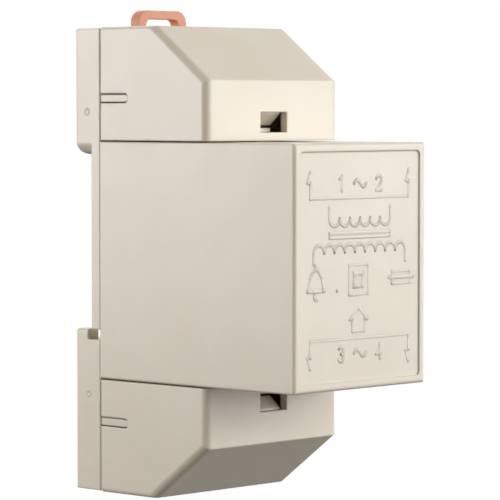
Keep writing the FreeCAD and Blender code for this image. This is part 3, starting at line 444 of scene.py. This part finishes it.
def make_spring():
    """Clip spring as one smooth zinc mesh that rides with the device, in place of the frame's
    spring.
    """
    shape = bmesh.new()
    shape.from_mesh(frame["nodes"]["clip_spring"].data)
    bmesh.ops.remove_doubles(shape, verts=shape.verts[:], dist=MERGE_REACH)
    bmesh.ops.recalc_face_normals(shape, faces=shape.faces)
    mesh = bpy.data.meshes.new("shortening_spring")
    shape.to_mesh(mesh)
    shape.free()
    give_finish(mesh, FINISHES["zinc_steel"])
    mesh.shade_smooth()
    piece = add_to_scene("shortening_spring", mesh)
    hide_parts("clip_spring")
    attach(piece, "device")
    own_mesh(piece)


def stroke_tree():
    """Tree that turns lines drawn in the plane Y = 0 into flat round-ended strokes on a face."""
    tree = bpy.data.node_groups.new("raised_strokes", "GeometryNodeTree")
    sockets = (
        ("Geometry", "INPUT", "NodeSocketGeometry"),
        ("Stroke Radius", "INPUT", "NodeSocketFloat"),
        ("Flattening", "INPUT", "NodeSocketVector"),
        ("Face Place", "INPUT", "NodeSocketVector"),
        ("Finish", "INPUT", "NodeSocketMaterial"),
        ("Geometry", "OUTPUT", "NodeSocketGeometry"),
    )
    for name, way, kind in sockets:
        tree.interface.new_socket(name, in_out=way, socket_type=kind)
    nodes = tree.nodes
    source = nodes.new("NodeGroupInput")
    profile = nodes.new("GeometryNodeCurvePrimitiveCircle")
    profile.inputs["Resolution"].default_value = STROKE_SIDES
    ridge = nodes.new("GeometryNodeCurveToMesh")
    ridge.inputs["Fill Caps"].default_value = True
    ball = nodes.new("GeometryNodeMeshUVSphere")
    set_inputs(ball, {"Segments": STROKE_END_SEGMENTS, "Rings": STROKE_END_RINGS})
    balls = nodes.new("GeometryNodeInstanceOnPoints")
    points = nodes.new("GeometryNodeCurveToPoints")
    points.mode = "EVALUATED"
    both = nodes.new("GeometryNodeJoinGeometry")
    flat = nodes.new("GeometryNodeTransform")
    real = nodes.new("GeometryNodeRealizeInstances")
    finish = nodes.new("GeometryNodeSetMaterial")
    result = nodes.new("NodeGroupOutput")
    links = (
        (source.outputs["Stroke Radius"], profile.inputs["Radius"]),
        (source.outputs["Stroke Radius"], ball.inputs["Radius"]),
        (source.outputs["Geometry"], ridge.inputs["Curve"]),
        (profile.outputs["Curve"], ridge.inputs["Profile Curve"]),
        (source.outputs["Geometry"], points.inputs["Curve"]),
        (points.outputs["Points"], balls.inputs["Points"]),
        (ball.outputs["Mesh"], balls.inputs["Instance"]),
        (ridge.outputs["Mesh"], both.inputs["Geometry"]),
        (balls.outputs["Instances"], both.inputs["Geometry"]),
        (both.outputs["Geometry"], flat.inputs["Geometry"]),
        (source.outputs["Flattening"], flat.inputs["Scale"]),
        (source.outputs["Face Place"], flat.inputs["Translation"]),
        (flat.outputs["Geometry"], real.inputs["Geometry"]),
        (real.outputs["Geometry"], finish.inputs["Geometry"]),
        (source.outputs["Finish"], finish.inputs["Material"]),
        (finish.outputs["Geometry"], result.inputs["Geometry"]),
    )
    for out, into in links:
        tree.links.new(out, into)
    return tree


def grow(name, source, tree, finish, inputs):
    """Run a tree on an object and keep its result as a plain mesh of one finish."""
    worker = add_to_scene(name + "_worker", source)
    modifier = worker.modifiers.new("tree", "NODES")
    modifier.node_group = tree
    values = dict(inputs, Finish=finish)
    for socket in tree.interface.items_tree:
        if socket.in_out == "INPUT" and socket.name in values:
            modifier[socket.identifier] = values[socket.name]
    bpy.context.view_layer.update()
    shown = worker.evaluated_get(bpy.context.evaluated_depsgraph_get())
    mesh = bpy.data.meshes.new_from_object(shown)
    bpy.data.objects.remove(worker)
    give_finish(mesh, finish)
    return add_to_scene(name, mesh)


def arc(x, z, radius, start, end, steps):
    """Points on a circle, angles in degrees from +X toward +Z."""
    points = []
    for step in range(steps + 1):
        angle = math.radians(start + (end - start) * step / steps)
        points.append((x + radius * math.cos(angle), z + radius * math.sin(angle)))
    return points


def rectangle(half_x, half_z):
    """Closed outline round the origin."""
    corners = ((-1, -1), (1, -1), (1, 1), (-1, 1), (-1, -1))
    return [(x * half_x, z * half_z) for x, z in corners]


def placed(strokes, x, z):
    """Strokes moved from the origin to their place."""
    return [[(x + across, z + up) for across, up in stroke] for stroke in strokes]


def bracket(line, way):
    """Line with an arrow tip at each end, upward (1) or downward (-1)."""
    foot = line + way * BRACKET_RISE
    strokes = [[(-BRACKET_HALF, foot), (-BRACKET_HALF, line), (BRACKET_HALF, line),
                (BRACKET_HALF, foot)]]
    for side in (-BRACKET_HALF, BRACKET_HALF):
        strokes.append([(side, foot), (side - ARROW_STEP, foot),
                        (side, foot + way * ARROW_REACH)])
    return strokes


def coil(loops, line, way):
    """Row of loops with a lead at each end; the loops point up (1) or down (-1)."""
    half = loops * COIL_LOOP
    lead = line - way * LEAD_RISE
    strokes = [[(-half, lead), (-half, line)], [(half, line), (half, lead)]]
    for loop in range(loops):
        centre = -half + (2 * loop + 1) * COIL_LOOP
        strokes.append(arc(centre, line, COIL_LOOP, 180, 0 if way > 0 else 360, 10))
    return strokes


def transformer_symbol():
    """Two coils with the core's lines between them."""
    half = SECONDARY_LOOPS * COIL_LOOP
    core = [[(-half, line), (half, line)] for line in CORE_LINES]
    return coil(SECONDARY_LOOPS, SECONDARY_LINE, -1) + coil(PRIMARY_LOOPS, PRIMARY_LINE, 1) + core


def bell():
    """Bell with its hanger, skirt and clapper."""
    hanger = [(0, 2.2), (0, 3.1)]
    crown = arc(0, 1.05, 1.1, 160, 20, 8)
    dome = [(-2.15, -1.75), (-1.45, 0.9)] + crown + [(1.45, 0.9), (2.15, -1.75)]
    skirt = [(-2.3, -1.75), (2.3, -1.75)]
    clapper = [(-0.45, -1.8), (-0.45, -2.7)] + arc(0.05, -2.8, 0.5, 180, 290, 5)
    return [hanger, dome, skirt, clapper]


def nested_squares():
    """Two squares inside a larger one."""
    return [rectangle(2.6, 2.7), rectangle(1.35, 1.35), rectangle(0.95, 0.95)]


def fuse_symbol():
    """Box with a wire through it."""
    return [rectangle(2.6, 1.1), [(-3.5, 0), (3.5, 0)]]


def house():
    """House outline: roof and walls."""
    return [[(-2.4, 0), (0, 2.1), (2.4, 0)],
            [(-1.7, 0.4), (-1.7, -2.2), (1.7, -2.2), (1.7, 0.4)]]


def wave_sign():
    """One full wave."""
    steps = [step / WAVE_STEPS for step in range(WAVE_STEPS + 1)]
    return [[(WAVE_WIDTH * (step - 0.5), WAVE_HEIGHT / 2 * math.sin(2 * math.pi * step))
             for step in steps]]


def number(figure):
    """Plain terminal number, drawn with strokes."""
    w = NUMBER_WIDTH / 2
    h = NUMBER_HEIGHT / 2
    shapes = {
        1: [[(-w * 0.6, h * 0.6), (w * 0.2, h), (w * 0.2, -h)]],
        2: [arc(0, h - w, w, 165, -35, 8) + [(-w, -h), (w, -h)]],
        3: [arc(0, h * 0.5, h * 0.5, 150, -90, 8), arc(0, -h * 0.5, h * 0.5, 90, -150, 8)],
        4: [[(w * 0.5, -h), (w * 0.5, h), (-w, -h * 0.4), (w, -h * 0.4)]],
    }
    return shapes[figure]


def panel_drawing():
    """All strokes of the front panel."""
    strokes = bracket(UPPER_BRACKET, 1) + bracket(LOWER_BRACKET, -1) + transformer_symbol()
    for row, left, right in ((UPPER_ROW, 1, 2), (LOWER_ROW, 3, 4)):
        strokes += placed(number(left), -NUMBER_PLACE, row)
        strokes += placed(wave_sign(), 0, row)
        strokes += placed(number(right), NUMBER_PLACE, row)
    strokes += placed(bell(), BELL_PLACE, SYMBOL_LINE)
    strokes += placed(nested_squares(), SQUARES_PLACE, SYMBOL_LINE)
    strokes += placed(fuse_symbol(), FUSE_PLACE, SYMBOL_LINE)
    strokes += placed(house(), SQUARES_PLACE, HOUSE_LINE)
    strokes += placed([[(0, 0), (DOT_LENGTH, 0)]], *DOT_PLACE)
    return strokes


def drawn_curve(name, strokes):
    """Curve of straight runs through the strokes' points, in the plane Y = 0."""
    curve = bpy.data.curves.new(name, "CURVE")
    curve.dimensions = "3D"
    for stroke in strokes:
        spline = curve.splines.new("POLY")
        spline.points.add(len(stroke) - 1)
        for point, (across, up) in zip(spline.points, stroke):
            point.co = (across * MM, 0, up * MM, 1)
    return curve


def make_relief():
    """Raised symbols on the front panel, too thin to let light spread in them."""
    low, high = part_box("housing")
    face = low.y + (PANEL_SINK + STROKE_BURY) * MM
    middle = ((low.x + high.x) / 2, face, (low.z + high.z) / 2)
    curve = drawn_curve("front_symbols", panel_drawing())
    finish = plain_plastic("relief_plastic", CREAM)
    piece = grow("front_symbols", curve, stroke_tree(), finish,
                 {"Stroke Radius": STROKE * MM, "Flattening": (1.0, STROKE_FLATNESS, 1.0),
                  "Face Place": middle})
    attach(piece, "device")


def prism(name, profile, half_width):
    """Solid of a Y-Z profile, in metres, spread evenly along X, with softened edges."""
    shape = bmesh.new()
    corners = [shape.verts.new((-half_width, y, z)) for y, z in profile]
    face = shape.faces.new(corners)
    grown = bmesh.ops.extrude_face_region(shape, geom=[face])
    moved = [item for item in grown["geom"] if isinstance(item, bmesh.types.BMVert)]
    bmesh.ops.translate(shape, verts=moved, vec=(2 * half_width, 0, 0))
    bmesh.ops.bevel(shape, geom=shape.edges[:], offset=SMALL_BEVEL * MM, segments=3, profile=0.5,
                    affect="EDGES")
    bmesh.ops.recalc_face_normals(shape, faces=shape.faces)
    mesh = bpy.data.meshes.new(name)
    shape.to_mesh(mesh)
    shape.free()
    give_finish(mesh, FINISHES["housing_plastic"])
    piece = add_to_scene(name, mesh)
    return piece


def make_window_catches():
    """Sloping snap catch on each cover, with the hook of the housing beside it."""
    low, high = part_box("housing")
    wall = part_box("upper_terminal_cover")[0].y + COVER_WALL * MM
    middle = (low.z + high.z) / 2
    slope = ((0, WINDOW_FAR + CATCH_ROOT), (0, WINDOW_FAR - CATCH_LIP),
             (CATCH_REACH, WINDOW_FAR - CATCH_DROP),
             (CATCH_REACH, WINDOW_FAR + CATCH_WALL - CATCH_DROP),
             (CATCH_WALL, WINDOW_FAR + CATCH_ROOT))
    bar = ((HOOK_FRONT, HOOK_FOOT), (HOOK_FRONT, HOOK_TOP), (HOOK_BACK, HOOK_TOP),
           (HOOK_BACK, HOOK_FOOT))
    for end, way in (("upper", 1), ("lower", -1)):
        profile = [(wall + y * MM, middle + way * (HALF_BLOCK + z) * MM) for y, z in slope]
        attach(prism(end + "_window_catch", profile, CATCH_HALF * MM), end + "_cover")
        profile = [(wall + y * MM, middle + way * (HALF_BLOCK + z) * MM) for y, z in bar]
        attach(prism(end + "_housing_hook", profile, HOOK_HALF * MM), "device")


def seen_by(tree, rays):
    """Value that is 1 for the named kinds of ray and 0 for all others."""
    path = tree.nodes.new("ShaderNodeLightPath")
    value = path.outputs[rays[0]]
    for ray in rays[1:]:
        either = tree.nodes.new("ShaderNodeMath")
        either.operation = "MAXIMUM"
        tree.links.new(value, either.inputs[0])
        tree.links.new(path.outputs[ray], either.inputs[1])
        value = either.outputs["Value"]
    return value


def floor_finish():
    """Pale floor that keeps the shadow near the object and fades to white away from it."""
    finish, shader = new_finish("pale_floor")
    set_inputs(shader, {"Base Color": FLOOR_COLOUR, "Roughness": 0.9, "Specular IOR Level": 0.1})
    share = add_node(finish, "ShaderNodeMath", operation="MULTIPLY")
    join(finish, seen_by(finish.node_tree, NEAR_WHITE_RAYS), share.inputs[0])
    share.inputs[1].default_value = FLOOR_GLOW
    glow = add_node(finish, "ShaderNodeEmission")
    join(finish, share.outputs["Value"], glow.inputs["Strength"])
    near = add_node(finish, "ShaderNodeAddShader")
    join(finish, shader.outputs["BSDF"], near.inputs[0])
    join(finish, glow.outputs["Emission"], near.inputs[1])
    place = add_node(finish, "ShaderNodeTexCoord")
    reach = add_node(finish, "ShaderNodeVectorMath", operation="LENGTH")
    join(finish, place.outputs["Object"], reach.inputs[0])
    fade = add_node(finish, "ShaderNodeMapRange", interpolation_type="SMOOTHSTEP")
    set_inputs(fade, {"From Min": FLOOR_FADE[0], "From Max": FLOOR_FADE[1]})
    join(finish, reach.outputs["Value"], fade.inputs["Value"])
    shown = add_node(finish, "ShaderNodeMath", operation="MULTIPLY")
    join(finish, fade.outputs["Result"], shown.inputs[0])
    join(finish, seen_by(finish.node_tree, WHITE_RAYS), shown.inputs[1])
    white = add_node(finish, "ShaderNodeEmission")
    mix = add_node(finish, "ShaderNodeMixShader")
    join(finish, shown.outputs["Value"], mix.inputs["Fac"])
    join(finish, near.outputs["Shader"], mix.inputs[1])
    join(finish, white.outputs["Emission"], mix.inputs[2])
    join(finish, mix.outputs["Shader"],
         finish.node_tree.nodes["Material Output"].inputs["Surface"])
    return finish


def make_floor():
    """Flat floor below the object."""
    mesh = bpy.data.meshes.new("floor")
    height = CAD_BOX[0].z - FLOOR_DROP
    corners = ((-1, -1), (1, -1), (1, 1), (-1, 1))
    mesh.from_pydata([(x * FLOOR_REACH, y * FLOOR_REACH, height) for x, y in corners], [],
                     [(0, 1, 2, 3)])
    give_finish(mesh, floor_finish())
    floor = add_to_scene("floor", mesh)


def make_lights():
    """Soft square lamps that face the middle of the device."""
    middle = (CAD_BOX[0] + CAD_BOX[1]) / 2
    for name, place, power, colour in LAMPS:
        data = bpy.data.lights.new(name, "AREA")
        data.shape = "SQUARE"
        data.size = LAMP_SIZE
        data.energy = power
        data.color = colour
        lamp = add_to_scene(name, data)
        lamp.location = place
        lamp.rotation_mode = "QUATERNION"
        lamp.rotation_quaternion = (middle - lamp.location).to_track_quat("-Z", "Y")


def make_world():
    """Even soft light, white where the backdrop is seen past the object."""
    world = bpy.data.worlds.new("studio")
    world.use_nodes = True
    bpy.context.scene.world = world
    nodes = world.node_tree.nodes
    links = world.node_tree.links
    plain = nodes["Background"]
    set_inputs(plain, {"Color": WORLD_COLOUR, "Strength": WORLD_STRENGTH})
    white = nodes.new("ShaderNodeBackground")
    set_inputs(white, {"Color": (1, 1, 1, 1), "Strength": 1.0})
    mix = nodes.new("ShaderNodeMixShader")
    links.new(seen_by(world.node_tree, WHITE_RAYS), mix.inputs["Fac"])
    links.new(plain.outputs["Background"], mix.inputs[1])
    links.new(white.outputs["Background"], mix.inputs[2])
    links.new(mix.outputs["Shader"], nodes["World Output"].inputs["Surface"])


def make_camera():
    """Camera at the photograph's angle."""
    data = bpy.data.cameras.new("camera")
    data.lens = CAMERA_LENS
    data.sensor_width = SENSOR_WIDTH
    data.clip_start = NEAREST
    data.clip_end = FARTHEST
    camera = add_to_scene("camera", data)
    azimuth = math.radians(CAMERA_AZIMUTH)
    rise = math.radians(CAMERA_ELEVATION)
    back = Vector((math.sin(azimuth) * math.cos(rise), -math.cos(azimuth) * math.cos(rise),
                   math.sin(rise)))
    camera.location = CAMERA_PLACE
    camera.rotation_mode = "QUATERNION"
    camera.rotation_quaternion = (-back).to_track_quat("-Z", "Y")
    bpy.context.scene.camera = camera


dress_nodes()
make_spring()
make_relief()
make_window_catches()
make_floor()
make_lights()
make_world()
make_camera()
bpy.context.scene.view_settings.view_transform = "Standard"
